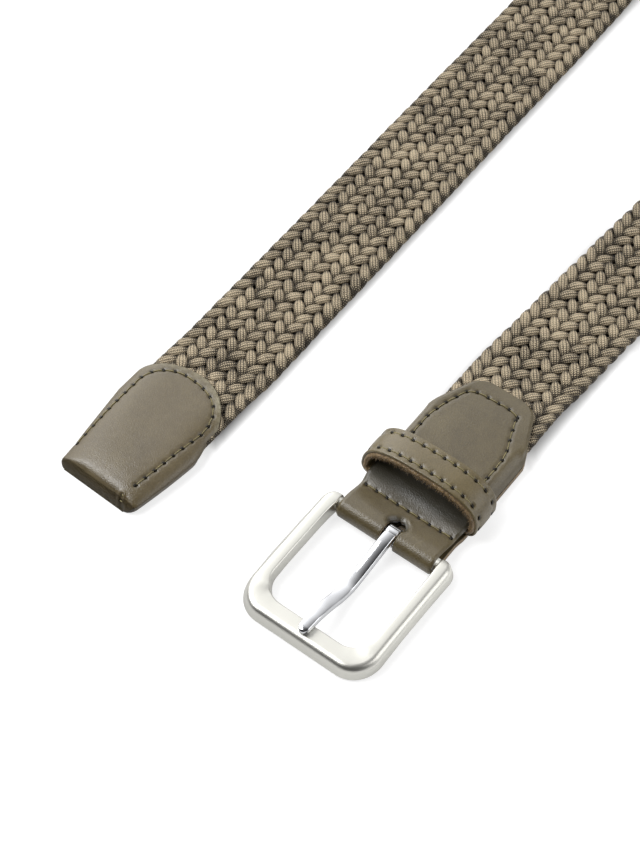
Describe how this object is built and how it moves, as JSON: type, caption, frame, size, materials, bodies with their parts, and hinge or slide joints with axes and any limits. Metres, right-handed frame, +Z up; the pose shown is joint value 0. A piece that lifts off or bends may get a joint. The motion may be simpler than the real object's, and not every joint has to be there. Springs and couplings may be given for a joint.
{
  "type": "braided stretch belt with a prong buckle",
  "caption": "Braided stretch cord belt laid out unfastened, with a leather tip, a folded leather tab, a keeper loop and a rounded square prong buckle.",
  "frame": {"origin": "on the resting surface, under the middle of the cross seam of the leather tab", "axes": "+Y from the buckle along the tab towards the loop of the belt, +X to the tab's right seen from above with the buckle nearest, +Z up, away from the surface"},
  "size_m": [0.1573, 0.5101, 0.0339],
  "materials": {
    "braid": "matt taupe braided elastic cord with fine yarn",
    "leather": "smooth olive brown leather, soft sheen, fine grain",
    "satin_nickel": "satin nickel plating on cast metal",
    "polished_nickel": "polished nickel plating"
  },
  "bodies": {
    "strap": {"braid": "braid", "tip_cap": "leather", "buckle_tab": "leather", "keeper_loop": "leather"},
    "buckle": {"buckle_frame": "satin_nickel"},
    "prong": {"prong": "polished_nickel"}
  },
  "joints": [
    {"name": "buckle_hinge", "type": "hinge", "parent": "strap", "child": "buckle", "pos_m": [0, -0.0092, 0.0037], "axis": [-1, 0, 0], "range_deg": [-60, 45]},
    {"name": "prong_hinge", "type": "hinge", "parent": "buckle", "child": "prong", "pos_m": [0, -0.0092, 0.0037], "axis": [-1, 0, 0], "range_deg": [0, 70]}
  ]
}
